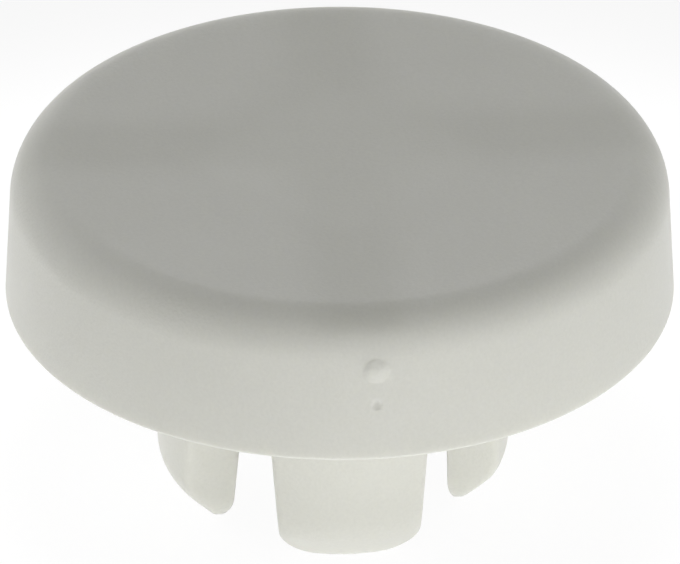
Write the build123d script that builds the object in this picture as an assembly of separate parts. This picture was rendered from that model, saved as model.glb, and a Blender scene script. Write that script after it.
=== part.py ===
from build123d import *
import os
from math import radians, tan

# A one-piece moulded plug that closes a 12.7 mm hole in a panel.
# Frame: Z is the axis of the plug, and Z = 0 is the seat, where the rim of the head meets the panel.
# The head is above the seat and the legs hang below it. -Y is the side with the gate mark.
# Sizes are in millimetres and angles in degrees. Turns run anticlockwise from -Y, seen from above.

# Head
HEAD_RADIUS = 12.7          # at the seat
HEAD_HEIGHT = 5.8
SIDE_DRAFT = 3.2            # the side leans in towards the top
NOSE_WIDTH = 1.59           # rounded shoulder between the side and the top, along the radius
NOSE_DROP = 1.8             # the same shoulder, down the axis
DISH_DEPTH = 0.25           # the top face is slightly hollow
SEAT_EDGE_ROUND = 0.12      # outer edge of the seat
TOP_WALL = 1.6
SKIRT_WALL = 1.6            # at the seat
SKIRT_DRAFT = 3.0           # inside of the skirt
HOLLOW_ROUND = 0.8          # corner between the skirt and the underside of the top

# Legs
LEG_RADIUS = 6.7            # outside of the ring of legs, which presses into the hole
LEG_WALL = 1.75
LEG_REACH = 8.73            # from the seat down to the tips
LEG_WIDTH_AT_SEAT = 6.46
LEG_WIDTH_AT_TIP = 5.16
LEG_CORNER_ROUND = 1.37     # the two lower corners of a leg, seen from outside
LEG_OUTER_ROUND = 0.3       # the edges that run down a leg, on its outside
LEG_INNER_ROUND = 0.12      # the same edges on its inside
LEG_ROOT_ROUND = 0.12
LEAD_IN = 1.7               # 45 degree chamfer that starts the legs in the hole
LEAD_IN_ROUND = 1.5         # where the chamfer meets the outside of a leg
LEG_TURNS = (0, 90, 180, 276)
LEG_LEANS = (1.4, -1.3, 0.0, 1.6)   # how far each leg leans outward

# Gate mark: the stub where the moulding was broken off, and a prick below it
GATE_TURN = 2.6
GATE_HEIGHT = 3.65          # above the seat
GATE_RADIUS = 0.5
GATE_PROUD = 0.14           # how far it stands out of the side
PRICK_HEIGHT = 2.31
PRICK_RADIUS = 0.2
PRICK_DEPTH = 0.06

TOP_UNDERSIDE = HEAD_HEIGHT - DISH_DEPTH - TOP_WALL
LEG_TOP = TOP_UNDERSIDE + TOP_WALL / 2      # inside the wall, so that the leg and the head join


def side_radius(height):
    """Radius of the drafted outer side, at a height above the seat."""
    return HEAD_RADIUS - height * tan(radians(SIDE_DRAFT))


def round_corner(face, corner, radius):
    """Round the corner of a flat face that is nearest to a point."""
    vertex = face.vertices().sort_by_distance(corner)[0]
    return fillet(vertex, radius)


def make_head():
    """Cap with a hollow underside, turned about the axis."""
    nose_foot = HEAD_HEIGHT - NOSE_DROP
    dish_radius = side_radius(nose_foot) - NOSE_WIDTH
    dish_middle = (0, HEAD_HEIGHT - DISH_DEPTH)
    skirt_radius = HEAD_RADIUS - SKIRT_WALL
    hollow_corner = (skirt_radius - TOP_UNDERSIDE * tan(radians(SKIRT_DRAFT)), TOP_UNDERSIDE)
    dish = TangentArc(dish_middle, (dish_radius, HEAD_HEIGHT), tangent=(1, 0))
    nose = EllipticalCenterArc((dish_radius, nose_foot), NOSE_WIDTH, NOSE_DROP, arc_size=90)
    walls = Polyline(
        (side_radius(nose_foot), nose_foot),
        (HEAD_RADIUS, 0),
        (skirt_radius, 0),
        hollow_corner,
        (0, TOP_UNDERSIDE),
        dish_middle,
    )
    section = make_face(dish + nose + walls)
    section = round_corner(section, (HEAD_RADIUS, 0), SEAT_EDGE_ROUND)
    section = round_corner(section, hollow_corner, HOLLOW_ROUND)
    return revolve(Plane.XZ * section, Axis.Z)


def make_leg_tube():
    """Plain tube that the legs are parts of."""
    length = LEG_TOP + LEG_REACH
    tube = Cylinder(LEG_RADIUS, length) - Cylinder(LEG_RADIUS - LEG_WALL, length)
    return Pos(0, 0, LEG_TOP - length / 2) * tube


def make_leg_outline():
    """Outline of one leg, seen from outside. It tapers below the seat and is parallel above it."""
    half_tip = LEG_WIDTH_AT_TIP / 2
    half_seat = LEG_WIDTH_AT_SEAT / 2
    outline = Polygon(
        (half_seat, 0),
        (half_seat, LEG_TOP),
        (-half_seat, LEG_TOP),
        (-half_seat, 0),
        (-half_tip, -LEG_REACH),
        (half_tip, -LEG_REACH),
        align=None,
    )
    lower_corners = outline.vertices().sort_by(Axis.Y)[:2]
    return fillet(lower_corners, LEG_CORNER_ROUND)


def round_long_edges(leg, radius, outside):
    """Round the edges that run down the leg at turn 0, on its outside or on its inside."""
    long_edges = [e for e in leg.edges() if e.bounding_box().size.Z > LEG_TOP / 2]
    between_corners = LEG_WALL - LEG_RADIUS
    chosen = [e for e in long_edges if (e.center().Y < between_corners) == outside]
    return fillet(chosen, radius)


def make_leg():
    """The leg at turn 0, upright, with its edges rounded and its lead-in."""
    tube = make_leg_tube()
    leg = tube & extrude(Plane.XZ * make_leg_outline(), 2 * LEG_RADIUS)
    leg = round_long_edges(leg, LEG_OUTER_ROUND, outside=True)
    leg = round_long_edges(leg, LEG_INNER_ROUND, outside=False)
    foot_edge = tube.faces().sort_by(Axis.Z)[0].outer_wire().edges()
    tapered_tube = chamfer(foot_edge, LEAD_IN)
    lead_in_top = (0, -LEG_RADIUS, LEAD_IN - LEG_REACH)
    round_edge = tapered_tube.edges().filter_by(GeomType.CIRCLE).sort_by_distance(lead_in_top)[0]
    return leg & fillet(round_edge, LEAD_IN_ROUND)


def place_leg(leg, turn, lean):
    """Lean a leg outward about its root, then turn it to its place."""
    root = Axis((0, -LEG_RADIUS, TOP_UNDERSIDE), (1, 0, 0))
    return leg.rotate(root, -lean).rotate(Axis.Z, turn)


def make_gate_mark():
    """Low domed stub and the ball that cuts the prick, both on the side of the head."""
    ball = (GATE_RADIUS**2 + GATE_PROUD**2) / (2 * GATE_PROUD)
    stub = Pos(0, ball - GATE_PROUD - side_radius(GATE_HEIGHT), GATE_HEIGHT) * Sphere(ball)
    prick_ball = (PRICK_RADIUS**2 + PRICK_DEPTH**2) / (2 * PRICK_DEPTH)
    reach = side_radius(PRICK_HEIGHT) + prick_ball - PRICK_DEPTH
    prick = Pos(0, -reach, PRICK_HEIGHT) * Sphere(prick_ball)
    return stub.rotate(Axis.Z, GATE_TURN), prick.rotate(Axis.Z, GATE_TURN)


def make_plug():
    plug = make_head()
    leg = make_leg()
    for turn, lean in zip(LEG_TURNS, LEG_LEANS):
        plug += place_leg(leg, turn, lean)
    underside = plug.faces().filter_by(Axis.Z).sort_by_distance((0, 0, TOP_UNDERSIDE))[0]
    roots = [e for e in underside.edges() if e.length < 2 * LEG_RADIUS]
    plug = fillet(roots, LEG_ROOT_ROUND)
    stub, prick = make_gate_mark()
    return plug + stub - prick


os.makedirs("parts", exist_ok=True)
export_step(make_plug(), "parts/hole_plug.step")
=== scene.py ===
import math

import bmesh
import bpy
from mathutils import Matrix, Vector, noise


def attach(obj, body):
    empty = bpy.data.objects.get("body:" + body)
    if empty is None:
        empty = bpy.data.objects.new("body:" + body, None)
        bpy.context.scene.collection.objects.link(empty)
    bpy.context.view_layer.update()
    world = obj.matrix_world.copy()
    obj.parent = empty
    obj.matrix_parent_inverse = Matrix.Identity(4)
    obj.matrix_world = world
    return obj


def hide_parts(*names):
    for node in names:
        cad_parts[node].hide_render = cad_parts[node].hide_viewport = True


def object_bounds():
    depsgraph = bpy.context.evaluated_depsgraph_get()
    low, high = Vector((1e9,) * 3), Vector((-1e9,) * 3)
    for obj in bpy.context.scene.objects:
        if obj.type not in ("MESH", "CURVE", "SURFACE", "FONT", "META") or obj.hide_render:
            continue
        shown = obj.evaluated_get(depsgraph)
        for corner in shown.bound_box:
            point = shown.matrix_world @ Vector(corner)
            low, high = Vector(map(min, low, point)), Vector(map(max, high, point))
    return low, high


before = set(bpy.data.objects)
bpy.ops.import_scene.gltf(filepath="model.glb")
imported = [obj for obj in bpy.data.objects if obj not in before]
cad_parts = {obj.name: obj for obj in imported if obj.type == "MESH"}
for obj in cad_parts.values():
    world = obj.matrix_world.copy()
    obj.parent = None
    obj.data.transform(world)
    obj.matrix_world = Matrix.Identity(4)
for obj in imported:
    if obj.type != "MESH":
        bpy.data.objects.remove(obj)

MM = 0.001
cad_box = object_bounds()

# Sizes of the plug, in millimetres and degrees.
# Z = 0 is the seat, and -Y is the side with the gate mark.

# Cap
HEAD_RADIUS = 12.7
HEAD_HEIGHT = 5.8
SIDE_DRAFT = 3.2
NOSE_WIDTH = 1.59
NOSE_DROP = 1.8
DISH_DEPTH = 0.25
SEAT_EDGE_ROUND = 0.12
TOP_WALL = 1.6
SKIRT_WALL = 1.6
SKIRT_DRAFT = 3.0
HOLLOW_ROUND = 0.8

# Legs
LEG_RADIUS = 6.7
LEG_WALL = 1.75
LEG_REACH = 8.73
LEG_WIDTH_AT_SEAT = 6.46
LEG_WIDTH_AT_TIP = 5.16
LEG_CORNER_ROUND = 1.37
LEG_OUTER_ROUND = 0.3
LEG_INNER_ROUND = 0.12
LEG_ROOT_ROUND = 0.12
LEAD_IN = 1.7
LEAD_IN_ANGLE = 45
LEAD_IN_ROUND = 1.5
LEG_TURNS = (0, 90, 180, 276)
LEG_LEANS = (1.4, -1.3, 0.0, 1.6)
LEG_SIDES = ("Front", "Right", "Back", "Left")

# Gate mark
GATE_TURN = 2.6
GATE_HEIGHT = 3.65
GATE_RADIUS = 0.5
GATE_PROUD = 0.14
STUB_UNEVENNESS = 0.03      # share of the radius of the ball whose cap is the stub
STUB_LUMPS = 1.4            # lumps to a millimetre, about
PRICK_HEIGHT = 2.31
PRICK_RADIUS = 0.2
PRICK_DEPTH = 0.06

TOP_UNDERSIDE = HEAD_HEIGHT - DISH_DEPTH - TOP_WALL
LEG_TOP = TOP_UNDERSIDE + TOP_WALL / 2      # inside the wall, so that the leg and the cap join

# Fineness of the mesh
CAP_STEPS = 256             # round the axis
LEG_STEPS = 24              # across half of a leg
BALL_FINENESS = 6
POLE_MERGE = 0.002          # gathers the points of the cap that meet on the axis
STRAY_MERGE = 0.0005
SLIVER = 0.002              # faces thinner than this are taken out
CRISP_ANGLE = 38            # edges sharper than this stay crisp

# Finish of the plastic
DEEP_WHITE = (0.66, 0.66, 0.611, 1)
PALE_WHITE = (0.76, 0.76, 0.704, 1)
# Painted shade: the top of the cap is tinted a shade darker in a cross over the legs
PAINTED_CROSS_SHADE = (0.93, 0.93, 0.92, 1)
CROSS_ARM = (0.6, 2.2)      # the cross is whole to the first of these, and gone at the second
CROSS_TOWARDS_BACK = 1.3
CROSS_HEIGHTS = (4.9, 5.4)
GRAIN_SIZE = 0.13
GRAIN_DEPTH = 0.025
GRAIN_STRENGTH = 0.6
CLOUD_SIZE = 4
GRAIN_SHARE = 0.6           # of the mottle; the rest is clouds

# Strengths of the studio light, where 1 is white. The studio is turned a little about the plug.
FRONT_LIGHT = 2.93
RIGHT_LIGHT = 1.0
LEFT_LIGHT = 0.83
WALL_FOOT_LIGHT = 1.59
WALL_TOP_LIGHT = 2.05
TABLE_LIGHT_UNDER = 0.37
TABLE_LIGHT_AROUND = 0.82
STUDIO_TURN = -20

# Edges of the lights. Those of the studio are parts of 1 along an axis of the world.
LOW_EDGE = (0.2, 0.5)       # where the low lights end and the top of the wall starts
WALL_TOP_EDGE = (0.6, 0.8)
SIDE_EDGE = (0.45, 0.85)
WALL_EDGE = (0.25, 0.6)
TABLE_UNDER_EDGE = (11, 17)     # distances from the axis, in millimetres
TABLE_FAR_EDGE = (28, 40)
TABLE_WHITE_SHARE = 0.9     # the rest of the table is seen as it is lit, and keeps the shadow

FLOOR_RADIUS = 600
CAMERA_TURN = 3.7           # from -Y towards -X
CAMERA_RISE = 30.87
CAMERA_DISTANCE = 382.8
CAMERA_NUDGE = (0.011, 0.102)   # to the right and up, across the view
CAMERA_LENS = 532.97


# ---------------------------------------------------------------- shapes

def side_radius(height):
    """Radius of the drafted side of the cap, at a height above the seat."""
    return HEAD_RADIUS - height * math.tan(math.radians(SIDE_DRAFT))


def arc(centre, radii, start, end, steps):
    """Points on an ellipse from one angle to another, in degrees."""
    points = []
    for step in range(steps + 1):
        angle = math.radians(start + (end - start) * step / steps)
        points.append((
            centre[0] + radii[0] * math.cos(angle),
            centre[1] + radii[1] * math.sin(angle),
        ))
    return points


def straight(start, end, steps):
    """Points along a straight run, without its two ends. They crowd towards both ends."""
    points = []
    for step in range(1, steps):
        along = (1 - math.cos(math.pi * step / steps)) / 2
        points.append((
            start[0] + (end[0] - start[0]) * along,
            start[1] + (end[1] - start[1]) * along,
        ))
    return points


def cap_section():
    """Half section of the cap, as (radius, height), from the middle of the top to the underside."""
    nose_foot = HEAD_HEIGHT - NOSE_DROP
    dish_radius = side_radius(nose_foot) - NOSE_WIDTH
    skirt_radius = HEAD_RADIUS - SKIRT_WALL
    hollow_corner = skirt_radius - TOP_UNDERSIDE * math.tan(math.radians(SKIRT_DRAFT))
    dish_curve = (dish_radius ** 2 + DISH_DEPTH ** 2) / (2 * DISH_DEPTH)
    dish_angle = math.degrees(math.asin(dish_radius / dish_curve))
    dish_centre = (0, HEAD_HEIGHT - DISH_DEPTH + dish_curve)
    seat_round = (HEAD_RADIUS - SEAT_EDGE_ROUND, SEAT_EDGE_ROUND)
    hollow_round = (hollow_corner - HOLLOW_ROUND, TOP_UNDERSIDE - HOLLOW_ROUND)

    skirt_foot = (skirt_radius, 0)
    underside_middle = (0, TOP_UNDERSIDE)

    dish = arc(dish_centre, (dish_curve, dish_curve), -90, -90 + dish_angle, steps=40)
    nose = arc((dish_radius, nose_foot), (NOSE_WIDTH, NOSE_DROP), 90, 0, steps=20)
    edge = arc(seat_round, (SEAT_EDGE_ROUND, SEAT_EDGE_ROUND), SIDE_DRAFT, -90, steps=6)
    hollow = arc(hollow_round, (HOLLOW_ROUND, HOLLOW_ROUND), 0, 90, steps=10)
    section = dish + nose[1:] + straight(nose[-1], edge[0], steps=10) + edge
    section += straight(edge[-1], skirt_foot, steps=5) + [skirt_foot]
    section += straight(skirt_foot, hollow[0], steps=8) + hollow
    section += straight(hollow[-1], underside_middle, steps=12) + [underside_middle]
    return section


def curve_from_section(name, points):
    """Open poly curve of (radius, height) points, in the XY plane."""
    data = bpy.data.curves.new(name, "CURVE")
    data.dimensions = "3D"
    spline = data.splines.new("POLY")
    spline.points.add(len(points) - 1)
    for point, (radius, height) in zip(spline.points, points):
        point.co = (radius * MM, height * MM, 0, 1)
    curve = bpy.data.objects.new(name, data)
    bpy.context.collection.objects.link(curve)
    return curve


def lead_in_radius(above_tip):
    """Outside radius of a leg near its tip: a chamfer, rounded where it meets the shank."""
    reach = LEAD_IN_ROUND * math.tan(math.radians(LEAD_IN_ANGLE / 2))
    if above_tip > LEAD_IN + reach:
        return LEG_RADIUS
    if above_tip < LEAD_IN - reach * math.cos(math.radians(LEAD_IN_ANGLE)):
        return LEG_RADIUS - LEAD_IN + above_tip
    below_shank = LEAD_IN + reach - above_tip
    return LEG_RADIUS - LEAD_IN_ROUND + math.sqrt(LEAD_IN_ROUND ** 2 - below_shank ** 2)


def quarter_round_gap(radius, from_end):
    """How far a quarter round stands back from the corner, at a distance from its end."""
    return radius - math.sqrt(radius ** 2 - (radius - from_end) ** 2)


def across_leg(radius, sweep, share):
    """Points across a leg on a circle about the axis, over a share of the sweep to each side."""
    points = []
    for step in range(-LEG_STEPS, LEG_STEPS + 1):
        angle = sweep * step / LEG_STEPS * share
        points.append(Vector((radius * math.sin(angle), -radius * math.cos(angle))))
    return points


def rounded(before, corner, after, radius, steps=5):
    """Points that take the sharpness off a corner between two neighbouring points."""
    start = corner + (before - corner).normalized() * radius
    end = corner + (after - corner).normalized() * radius
    points = []
    for step in range(steps + 1):
        along = step / steps
        points.append(start.lerp(corner, along).lerp(corner.lerp(end, along), along))
    return points


def leg_ring(height):
    """Outline of a leg cut level at a height: its outside, one side, its inside, the other side."""
    half_seat, half_tip = LEG_WIDTH_AT_SEAT / 2, LEG_WIDTH_AT_TIP / 2
    below = max(0, -height) / LEG_REACH
    half = half_seat + (half_tip - half_seat) * below
    above_tip = height + LEG_REACH
    if above_tip < LEG_CORNER_ROUND:
        half -= quarter_round_gap(LEG_CORNER_ROUND, above_tip)
    to_root = TOP_UNDERSIDE - height
    flare = 0
    if to_root < LEG_ROOT_ROUND:
        flare = quarter_round_gap(LEG_ROOT_ROUND, max(0, to_root))
    half += flare * 0.8     # the sides meet the wall at a slant, and flare a little less
    outside = lead_in_radius(above_tip) + flare
    inside = LEG_RADIUS - LEG_WALL - flare
    quarter_wall = 0.25 * (outside - inside)
    outer_round = min(LEG_OUTER_ROUND, quarter_wall)
    inner_round = min(LEG_INNER_ROUND, quarter_wall)

    outer_end = Vector((half, -math.sqrt(outside ** 2 - half ** 2)))
    inner_end = Vector((half, -math.sqrt(inside ** 2 - half ** 2)))
    outer = across_leg(outside, math.asin(half / outside), 1 - outer_round / half)
    inner = across_leg(inside, math.asin(half / inside), 1 - inner_round / half)[::-1]
    side = rounded(outer[-1], outer_end, inner_end, outer_round)[1:]
    side += [outer_end.lerp(inner_end, along) for along in (0.25, 0.5, 0.75)]
    side += rounded(outer_end, inner_end, inner[0], inner_round)[:-1]
    other_side = [Vector((-point.x, point.y)) for point in reversed(side)]
    return outer + side + inner + other_side


def leg_heights():
    """Heights at which a leg is cut, from its tip up into the top wall."""
    corner_turns = [math.radians(angle) for angle in range(0, 91, 6)]
    root_turns = [math.radians(angle) for angle in range(15, 91, 15)]
    tip = [-LEG_REACH + LEG_CORNER_ROUND * (1 - math.cos(turn)) for turn in corner_turns]
    lead_in = [-LEG_REACH + LEAD_IN + LEAD_IN_ROUND * step / 20 for step in range(-4, 9)]
    shank_foot = lead_in[-1]
    shank_length = TOP_UNDERSIDE - LEG_ROOT_ROUND - shank_foot
    shank = [shank_foot + shank_length * step / 12 for step in range(1, 13)]
    root = [TOP_UNDERSIDE - LEG_ROOT_ROUND * (1 - math.sin(turn)) for turn in root_turns]
    return sorted(tip + lead_in + shank + root) + [LEG_TOP]


def object_from(mesh, name):
    """Makes an object of a mesh under construction, and puts it in the scene."""
    data = bpy.data.meshes.new(name)
    mesh.to_mesh(data)
    mesh.free()
    made = bpy.data.objects.new(name, data)
    bpy.context.collection.objects.link(made)
    return made


def make_leg():
    """One upright leg at the -Y side, as a closed mesh."""
    mesh = bmesh.new()
    rings = []
    for height in leg_heights():
        points = [(point.x * MM, point.y * MM, height * MM) for point in leg_ring(height)]
        rings.append([mesh.verts.new(point) for point in points])
    count = len(rings[0])
    for lower, upper in zip(rings, rings[1:]):
        for index in range(count):
            after = (index + 1) % count
            mesh.faces.new((lower[index], lower[after], upper[after], upper[index]))
    mesh.faces.new(reversed(rings[0]))
    mesh.faces.new(rings[-1])
    bmesh.ops.recalc_face_normals(mesh, faces=mesh.faces)
    bmesh.ops.triangulate(mesh, faces=[face for face in mesh.faces if len(face.verts) > 4])
    return object_from(mesh, "leg")


def ball_radius(radius, height):
    """Radius of the ball whose cap has a given radius and height."""
    return (radius ** 2 + height ** 2) / (2 * height)


def make_ball(radius):
    """A fine ball, as a mesh under construction."""
    mesh = bmesh.new()
    bmesh.ops.create_icosphere(mesh, subdivisions=BALL_FINENESS, radius=radius)
    return mesh


def place_by_gate(ball, name, along_y, height):
    """Sets a ball at the side of the cap, turned to the gate mark, and makes an object of it."""
    place = Matrix.Rotation(math.radians(GATE_TURN), 4, "Z")
    place @= Matrix.Translation((0, along_y, height))
    ball.transform(Matrix.Scale(MM, 4) @ place)
    return object_from(ball, name)


def make_gate_stub():
    """Broken stub of the gate: a low, uneven dome on the side of the cap."""
    radius = ball_radius(GATE_RADIUS, GATE_PROUD)
    ball = make_ball(radius)
    start = Vector((3.1, 0.4, 7.7))
    for vert in ball.verts:
        lump = noise.fractal(vert.co * STUB_LUMPS + start, 0.9, 2.1, 3)
        vert.co *= 1 + STUB_UNEVENNESS * lump
    along_y = radius - GATE_PROUD - side_radius(GATE_HEIGHT)
    return place_by_gate(ball, "gate_stub", along_y, GATE_HEIGHT)


def make_prick_ball():
    """Ball that dents the side of the cap just below the gate mark."""
    radius = ball_radius(PRICK_RADIUS, PRICK_DEPTH)
    reach = side_radius(PRICK_HEIGHT) + radius - PRICK_DEPTH
    return place_by_gate(make_ball(radius), "prick_ball", -reach, PRICK_HEIGHT)


# ---------------------------------------------------------------- moulding tree

def add_node(tree, kind, **values):
    """A new node in a tree, with its settings."""
    node = tree.nodes.new(kind)
    for name, value in values.items():
        setattr(node, name, value)
    return node


def add_socket(tree, name, kind, direction):
    """A named input or output of a tree."""
    return tree.interface.new_socket(name, in_out=direction, socket_type=kind)


def maths(tree, operation, *values):
    """One sum on numbers or sockets, and the socket that it gives."""
    node = add_node(tree, "ShaderNodeMath", operation=operation)
    for place, value in zip(node.inputs, values):
        if isinstance(value, (int, float)):
            place.default_value = value
        else:
            tree.links.new(value, place)
    return node.outputs[0]


def value_for_leg(tree, given, number, names):
    """The one of four angles that belongs to a leg, by the leg's number."""
    pick = add_node(tree, "GeometryNodeIndexSwitch", data_type="FLOAT")
    while len(pick.index_switch_items) < len(names):
        pick.index_switch_items.new()
    tree.links.new(number.outputs["Index"], pick.inputs["Index"])
    for position, name in enumerate(names):
        tree.links.new(given[name], pick.inputs[str(position)])
    return pick.outputs[0]


def cap_nodes(tree, given):
    """Sweeps the section of the cap round the axis."""
    link = tree.links.new
    section = add_node(tree, "GeometryNodeObjectInfo")
    link(given["Cap section"], section.inputs["Object"])
    circle = add_node(tree, "GeometryNodeCurvePrimitiveCircle")
    circle.inputs["Radius"].default_value = HEAD_RADIUS * MM
    link(given["Turning steps"], circle.inputs["Resolution"])
    inward = add_node(tree, "GeometryNodeTransform")
    inward.inputs["Translation"].default_value = (-HEAD_RADIUS * MM, 0, 0)
    inward.inputs["Scale"].default_value = (1, -1, 1)
    link(section.outputs["Geometry"], inward.inputs["Geometry"])
    sweep = add_node(tree, "GeometryNodeCurveToMesh")
    link(circle.outputs["Curve"], sweep.inputs["Curve"])
    link(inward.outputs["Geometry"], sweep.inputs["Profile Curve"])
    cap = add_node(tree, "GeometryNodeMergeByDistance")
    cap.inputs["Distance"].default_value = POLE_MERGE * MM
    link(sweep.outputs["Mesh"], cap.inputs["Geometry"])
    return cap.outputs["Geometry"]


def leg_nodes(tree, given):
    """Sets the legs round the axis, each with its own lean and turn."""
    link = tree.links.new
    spots = add_node(tree, "GeometryNodePoints")
    link(given["Leg count"], spots.inputs["Count"])
    legs = add_node(tree, "GeometryNodeInstanceOnPoints")
    link(spots.outputs["Points"], legs.inputs["Points"])
    link(given["Leg"], legs.inputs["Instance"])
    number = add_node(tree, "GeometryNodeInputIndex")

    lean = value_for_leg(tree, given, number, [f"{side} lean" for side in LEG_SIDES])
    lean_turn = add_node(tree, "ShaderNodeCombineXYZ")
    link(maths(tree, "MULTIPLY", lean, -1), lean_turn.inputs["X"])
    root = add_node(tree, "ShaderNodeCombineXYZ")
    link(maths(tree, "MULTIPLY", given["Leg radius"], -1), root.inputs["Y"])
    link(given["Root height"], root.inputs["Z"])
    leaned = add_node(tree, "GeometryNodeRotateInstances")
    leaned.inputs["Local Space"].default_value = False
    link(legs.outputs["Instances"], leaned.inputs["Instances"])
    link(lean_turn.outputs["Vector"], leaned.inputs["Rotation"])
    link(root.outputs["Vector"], leaned.inputs["Pivot Point"])

    turn = value_for_leg(tree, given, number, [f"{side} turn" for side in LEG_SIDES])
    about_axis = add_node(tree, "ShaderNodeCombineXYZ")
    link(turn, about_axis.inputs["Z"])
    placed = add_node(tree, "GeometryNodeRotateInstances")
    placed.inputs["Local Space"].default_value = False
    link(leaned.outputs["Instances"], placed.inputs["Instances"])
    link(about_axis.outputs["Vector"], placed.inputs["Rotation"])
    return placed.outputs["Instances"]


def moulding_tree():
    """Tree that turns the cap, sets the legs round the axis and joins all into one solid."""
    tree = bpy.data.node_groups.new("plug_moulding", "GeometryNodeTree")
    add_socket(tree, "Leg", "NodeSocketGeometry", "INPUT")
    for name in ("Cap section", "Gate stub", "Prick ball"):
        add_socket(tree, name, "NodeSocketObject", "INPUT")
    for name in ("Turning steps", "Leg count"):
        add_socket(tree, name, "NodeSocketInt", "INPUT")
    lengths = ["Leg radius", "Root height"]
    angles = [f"{side} {kind}" for kind in ("turn", "lean") for side in LEG_SIDES]
    for name in lengths + angles:
        add_socket(tree, name, "NodeSocketFloat", "INPUT")
    add_socket(tree, "Plastic", "NodeSocketMaterial", "INPUT")
    add_socket(tree, "Plug", "NodeSocketGeometry", "OUTPUT")
    link = tree.links.new
    given = add_node(tree, "NodeGroupInput").outputs

    stub = add_node(tree, "GeometryNodeObjectInfo")
    link(given["Gate stub"], stub.inputs["Object"])
    joined = add_node(tree, "GeometryNodeMeshBoolean", operation="UNION", solver="MANIFOLD")
    for part in (cap_nodes(tree, given), leg_nodes(tree, given), stub.outputs["Geometry"]):
        link(part, joined.inputs["Mesh 2"])
    ball = add_node(tree, "GeometryNodeObjectInfo")
    link(given["Prick ball"], ball.inputs["Object"])
    dented = add_node(tree, "GeometryNodeMeshBoolean", operation="DIFFERENCE", solver="MANIFOLD")
    link(joined.outputs["Mesh"], dented.inputs["Mesh 1"])
    link(ball.outputs["Geometry"], dented.inputs["Mesh 2"])
    smooth = add_node(tree, "GeometryNodeSetShadeSmooth")
    link(dented.outputs["Mesh"], smooth.inputs["Geometry"])
    real = add_node(tree, "GeometryNodeRealizeInstances")
    link(smooth.outputs["Geometry"], real.inputs["Geometry"])
    plastic = add_node(tree, "GeometryNodeSetMaterial")
    link(real.outputs["Geometry"], plastic.inputs["Geometry"])
    link(given["Plastic"], plastic.inputs["Material"])
    link(plastic.outputs["Geometry"], add_node(tree, "NodeGroupOutput").inputs["Plug"])
    return tree


def mould(leg, values):
    """Runs the moulding tree on a leg and gives the finished plug as a plain mesh."""
    tree = moulding_tree()
    modifier = leg.modifiers.new("moulding", "NODES")
    modifier.node_group = tree
    for item in tree.interface.items_tree:
        if item.in_out == "INPUT" and item.name in values:
            modifier[item.identifier] = values[item.name]
    evaluated = leg.evaluated_get(bpy.context.evaluated_depsgraph_get())
    data = bpy.data.meshes.new_from_object(evaluated)
    leg.modifiers.remove(modifier)
    data.name = "plug_body"
    plug = bpy.data.objects.new("plug_body", data)
    bpy.context.collection.objects.link(plug)
    return plug


def finish_mesh(plug):
    """Clears stray doubles and slivers, points the faces outward and keeps crisp edges crisp."""
    mesh = bmesh.new()
    mesh.from_mesh(plug.data)
    bmesh.ops.remove_doubles(mesh, verts=mesh.verts, dist=STRAY_MERGE * MM)
    bmesh.ops.dissolve_degenerate(mesh, edges=mesh.edges, dist=SLIVER * MM)
    bmesh.ops.triangulate(mesh, faces=[face for face in mesh.faces if len(face.verts) > 4])
    bmesh.ops.recalc_face_normals(mesh, faces=mesh.faces)
    open_edges = sum(1 for edge in mesh.edges if len(edge.link_faces) != 2)
    volume = round(mesh.calc_volume() / MM ** 3, 1)
    print("plug mesh:", len(mesh.faces), "faces,", open_edges, "open edges,", volume, "cubic mm")
    mesh.to_mesh(plug.data)
    mesh.free()
    plug.data.shade_smooth()
    plug.data.set_sharp_from_angle(angle=math.radians(CRISP_ANGLE))


# ---------------------------------------------------------------- finish

def smooth_range(tree, value, edge, low, high):
    """A value that goes smoothly from low at the start of an edge to high at its end."""
    ramp = add_node(tree, "ShaderNodeMapRange", interpolation_type="SMOOTHSTEP")
    ramp.inputs["From Min"].default_value = edge[0]
    ramp.inputs["From Max"].default_value = edge[1]
    ramp.inputs["To Min"].default_value = low
    ramp.inputs["To Max"].default_value = high
    tree.links.new(value, ramp.inputs["Value"])
    return ramp.outputs["Result"]


def in_metres(edge):
    """The start and the end of an edge, from millimetres."""
    return edge[0] * MM, edge[1] * MM


def rays_that_see_white(tree):
    """1 for the rays of sight, gloss and transmission, which see the surroundings as white."""
    rays = add_node(tree, "ShaderNodeLightPath")
    shown = maths(tree, "MAXIMUM", rays.outputs["Is Camera Ray"], rays.outputs["Is Glossy Ray"])
    return maths(tree, "MAXIMUM", shown, rays.outputs["Is Transmission Ray"])


def moulded_grain_group():
    """Fine grain of a matt mould: a height for a bump, and a mottle."""
    group = bpy.data.node_groups.new("moulded_grain", "ShaderNodeTree")
    add_socket(group, "Position", "NodeSocketVector", "INPUT")
    add_socket(group, "Grain size", "NodeSocketFloat", "INPUT")
    add_socket(group, "Cloud size", "NodeSocketFloat", "INPUT")
    add_socket(group, "Height", "NodeSocketFloat", "OUTPUT")
    add_socket(group, "Mottle", "NodeSocketFloat", "OUTPUT")
    link = group.links.new
    given = add_node(group, "NodeGroupInput").outputs
    grain = add_node(group, "ShaderNodeTexNoise", noise_dimensions="3D")
    grain.inputs["Detail"].default_value = 2
    link(given["Position"], grain.inputs["Vector"])
    link(maths(group, "DIVIDE", 1.0, given["Grain size"]), grain.inputs["Scale"])
    clouds = add_node(group, "ShaderNodeTexNoise", noise_dimensions="3D")
    clouds.inputs["Detail"].default_value = 2
    link(given["Position"], clouds.inputs["Vector"])
    link(maths(group, "DIVIDE", 1.0, given["Cloud size"]), clouds.inputs["Scale"])
    grain_share = maths(group, "MULTIPLY", grain.outputs[0], GRAIN_SHARE)
    cloud_share = maths(group, "MULTIPLY", clouds.outputs[0], 1 - GRAIN_SHARE)
    out = add_node(group, "NodeGroupOutput")
    link(grain.outputs[0], out.inputs["Height"])
    link(maths(group, "ADD", grain_share, cloud_share), out.inputs["Mottle"])
    return group


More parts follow.
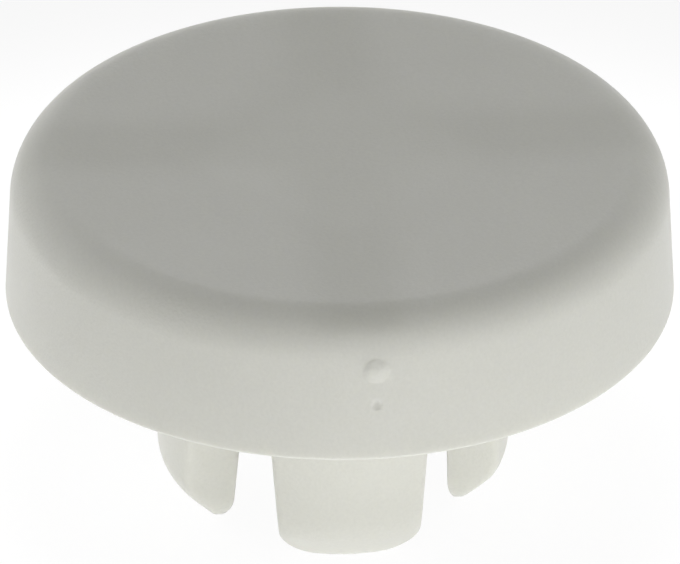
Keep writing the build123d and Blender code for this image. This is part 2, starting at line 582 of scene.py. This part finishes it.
def leg_shadow_group():
    """Mask of the painted shade: a faint darker cross on the top of the cap, over the lines of the
    legs.
    """
    group = bpy.data.node_groups.new("painted_cross_shade", "ShaderNodeTree")
    add_socket(group, "Position", "NodeSocketVector", "INPUT")
    add_socket(group, "Painted shade", "NodeSocketFloat", "OUTPUT")
    given = add_node(group, "NodeGroupInput").outputs
    split = add_node(group, "ShaderNodeSeparateXYZ")
    group.links.new(given["Position"], split.inputs["Vector"])
    from_y_axis = maths(group, "ABSOLUTE", split.outputs["X"])
    behind = maths(group, "SUBTRACT", split.outputs["Y"], CROSS_TOWARDS_BACK * MM)
    from_x_axis = maths(group, "ABSOLUTE", behind)
    product = maths(group, "MULTIPLY", from_y_axis, from_x_axis)
    total = maths(group, "ADD", from_y_axis, from_x_axis)
    above_zero = maths(group, "ADD", total, 0.01 * MM)
    from_arms = maths(group, "DIVIDE", product, above_zero)
    arms = smooth_range(group, from_arms, in_metres(CROSS_ARM), 1, 0)
    on_top = smooth_range(group, split.outputs["Z"], in_metres(CROSS_HEIGHTS), 0, 1)
    out = add_node(group, "NodeGroupOutput")
    group.links.new(maths(group, "MULTIPLY", arms, on_top), out.inputs["Painted shade"])
    return group


def matt_white_plastic():
    """Natural white plastic, matt and translucent, with a faint painted shade in a cross on the top
    of the cap.
    """
    material = bpy.data.materials.new("matt_white_plastic")
    material.use_nodes = True
    tree = material.node_tree
    tree.nodes.clear()
    link = tree.links.new
    where = add_node(tree, "ShaderNodeTexCoord")
    grain = add_node(tree, "ShaderNodeGroup", node_tree=moulded_grain_group())
    grain.inputs["Grain size"].default_value = GRAIN_SIZE * MM
    grain.inputs["Cloud size"].default_value = CLOUD_SIZE * MM
    link(where.outputs["Object"], grain.inputs["Position"])
    # mask of the painted shade on the top of the cap
    cross = add_node(tree, "ShaderNodeGroup", node_tree=leg_shadow_group())
    link(where.outputs["Object"], cross.inputs["Position"])

    plain = add_node(tree, "ShaderNodeMix", data_type="RGBA")
    plain.inputs["A"].default_value = DEEP_WHITE
    plain.inputs["B"].default_value = PALE_WHITE
    link(grain.outputs["Mottle"], plain.inputs["Factor"])
    # painted shade: the colour is multiplied a shade darker in a cross on the top of the cap
    tone = add_node(tree, "ShaderNodeMix", data_type="RGBA", blend_type="MULTIPLY")
    tone.inputs["B"].default_value = PAINTED_CROSS_SHADE
    link(cross.outputs["Painted shade"], tone.inputs["Factor"])
    link(plain.outputs["Result"], tone.inputs["A"])
    bump = add_node(tree, "ShaderNodeBump")
    bump.inputs["Strength"].default_value = GRAIN_STRENGTH
    bump.inputs["Distance"].default_value = GRAIN_DEPTH * MM
    link(grain.outputs["Height"], bump.inputs["Height"])
    shader = add_node(tree, "ShaderNodeBsdfPrincipled")
    shader.inputs["Roughness"].default_value = 0.42
    shader.inputs["IOR"].default_value = 1.5
    shader.inputs["Specular IOR Level"].default_value = 0.3
    shader.inputs["Subsurface Weight"].default_value = 0.6
    shader.inputs["Subsurface Radius"].default_value = (1.0, 1.0, 0.9)
    shader.inputs["Subsurface Scale"].default_value = 0.5 * MM
    link(tone.outputs["Result"], shader.inputs["Base Color"])
    link(bump.outputs["Normal"], shader.inputs["Normal"])
    out = add_node(tree, "ShaderNodeOutputMaterial")
    link(shader.outputs["BSDF"], out.inputs["Surface"])
    return material


def light_table_sheet():
    """White sheet over a weak light, which lights the plug from below."""
    material = bpy.data.materials.new("light_table_sheet")
    material.use_nodes = True
    tree = material.node_tree
    tree.nodes.clear()
    link = tree.links.new
    paper = add_node(tree, "ShaderNodeBsdfDiffuse")
    paper.inputs["Color"].default_value = (0.85, 0.85, 0.85, 1)
    where = add_node(tree, "ShaderNodeTexCoord")
    flat = add_node(tree, "ShaderNodeVectorMath", operation="MULTIPLY")
    flat.inputs[1].default_value = (1, 1, 0)
    link(where.outputs["Object"], flat.inputs[0])
    from_middle = add_node(tree, "ShaderNodeVectorMath", operation="LENGTH")
    link(flat.outputs["Vector"], from_middle.inputs[0])
    away = from_middle.outputs["Value"]
    under_edge, far_edge = in_metres(TABLE_UNDER_EDGE), in_metres(TABLE_FAR_EDGE)
    lit = smooth_range(tree, away, under_edge, TABLE_LIGHT_UNDER, TABLE_LIGHT_AROUND)
    fade = smooth_range(tree, away, far_edge, 1, 0)
    glow = add_node(tree, "ShaderNodeEmission")
    link(maths(tree, "MULTIPLY", lit, fade), glow.inputs["Strength"])
    sheet = add_node(tree, "ShaderNodeAddShader")
    link(paper.outputs["BSDF"], sheet.inputs[0])
    link(glow.outputs["Emission"], sheet.inputs[1])

    white = add_node(tree, "ShaderNodeEmission")
    white.inputs["Strength"].default_value = 1
    share = maths(tree, "MULTIPLY", rays_that_see_white(tree), TABLE_WHITE_SHARE)
    mix = add_node(tree, "ShaderNodeMixShader")
    link(share, mix.inputs["Fac"])
    link(sheet.outputs["Shader"], mix.inputs[1])
    link(white.outputs["Emission"], mix.inputs[2])
    out = add_node(tree, "ShaderNodeOutputMaterial")
    link(mix.outputs["Shader"], out.inputs["Surface"])
    return material


# ---------------------------------------------------------------- studio

def make_floor():
    """Light table under the tips of the legs."""
    mesh = bmesh.new()
    bmesh.ops.create_circle(mesh, cap_ends=True, segments=96, radius=FLOOR_RADIUS * MM)
    for vert in mesh.verts:
        vert.co.z = cad_box[0].z
    floor = object_from(mesh, "floor")
    floor.data.materials.append(light_table_sheet())


def on_plus_side(tree, along, edge, strength):
    """A light on the plus side of an axis."""
    return smooth_range(tree, along, edge, 0, strength)


def on_minus_side(tree, along, edge, strength):
    """A light on the minus side of an axis."""
    return smooth_range(tree, along, (-edge[1], -edge[0]), strength, 0)


def make_studio_world():
    """Studio with low lights in front and at both sides, a bright wall behind, dark overhead."""
    world = bpy.data.worlds.new("studio")
    bpy.context.scene.world = world
    world.use_nodes = True
    tree = world.node_tree
    tree.nodes.clear()
    link = tree.links.new
    where = add_node(tree, "ShaderNodeTexCoord")
    turned = add_node(tree, "ShaderNodeMapping", vector_type="POINT")
    turned.inputs["Rotation"].default_value = (0, 0, math.radians(STUDIO_TURN))
    link(where.outputs["Generated"], turned.inputs["Vector"])
    split = add_node(tree, "ShaderNodeSeparateXYZ")
    link(turned.outputs["Vector"], split.inputs["Vector"])
    across, along, up = split.outputs["X"], split.outputs["Y"], split.outputs["Z"]

    low = smooth_range(tree, up, LOW_EDGE, 1, 0)
    above_low = smooth_range(tree, up, LOW_EDGE, 0, 1)
    high = maths(tree, "MULTIPLY", above_low, smooth_range(tree, up, WALL_TOP_EDGE, 1, 0))
    front = maths(tree, "MULTIPLY", low, on_minus_side(tree, along, SIDE_EDGE, FRONT_LIGHT))
    right = maths(tree, "MULTIPLY", low, on_plus_side(tree, across, SIDE_EDGE, RIGHT_LIGHT))
    left = maths(tree, "MULTIPLY", low, on_minus_side(tree, across, SIDE_EDGE, LEFT_LIGHT))
    wall_foot = maths(tree, "MULTIPLY", low, on_plus_side(tree, along, SIDE_EDGE, WALL_FOOT_LIGHT))
    wall_top = maths(tree, "MULTIPLY", high, on_plus_side(tree, along, WALL_EDGE, WALL_TOP_LIGHT))
    sides = maths(tree, "ADD", right, left)
    wall = maths(tree, "ADD", wall_foot, wall_top)
    light = maths(tree, "ADD", maths(tree, "ADD", front, sides), wall)

    seen = add_node(tree, "ShaderNodeMix", data_type="FLOAT")
    seen.inputs["B"].default_value = 1
    link(rays_that_see_white(tree), seen.inputs["Factor"])
    link(light, seen.inputs["A"])
    glow = add_node(tree, "ShaderNodeBackground")
    glow.inputs["Color"].default_value = (1, 1, 1, 1)
    link(seen.outputs["Result"], glow.inputs["Strength"])
    out = add_node(tree, "ShaderNodeOutputWorld")
    link(glow.outputs["Background"], out.inputs["Surface"])


def make_camera():
    """Long lens, a little to the left of the gate mark and looking down on the plug."""
    turn, rise = math.radians(CAMERA_TURN), math.radians(CAMERA_RISE)
    level = math.cos(rise)
    towards = Vector((-math.sin(turn) * level, -math.cos(turn) * level, math.sin(rise)))
    facing = (-towards).to_track_quat("-Z", "Y")
    nudge = facing @ Vector((CAMERA_NUDGE[0] * MM, CAMERA_NUDGE[1] * MM, 0))
    data = bpy.data.cameras.new("camera")
    data.lens = CAMERA_LENS
    data.clip_start = 0.01
    data.clip_end = 10
    camera = bpy.data.objects.new("camera", data)
    camera.location = towards * (CAMERA_DISTANCE * MM) + nudge
    camera.rotation_mode = "QUATERNION"
    camera.rotation_quaternion = facing
    bpy.context.collection.objects.link(camera)
    bpy.context.scene.camera = camera


# ---------------------------------------------------------------- the plug

section = curve_from_section("cap_section", cap_section())
leg = make_leg()
stub = make_gate_stub()
ball = make_prick_ball()
values = {
    "Cap section": section,
    "Gate stub": stub,
    "Prick ball": ball,
    "Turning steps": CAP_STEPS,
    "Leg count": len(LEG_SIDES),
    "Leg radius": LEG_RADIUS * MM,
    "Root height": TOP_UNDERSIDE * MM,
    "Plastic": matt_white_plastic(),
}
for side, turn, lean in zip(LEG_SIDES, LEG_TURNS, LEG_LEANS):
    values[f"{side} turn"] = math.radians(turn)
    values[f"{side} lean"] = math.radians(lean)
plug = mould(leg, values)
for helper in (section, leg, stub, ball):
    bpy.data.objects.remove(helper)
finish_mesh(plug)
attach(plug, "root")
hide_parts("hole_plug")

make_floor()
make_studio_world()
make_camera()
bpy.context.scene.view_settings.view_transform = "Standard"
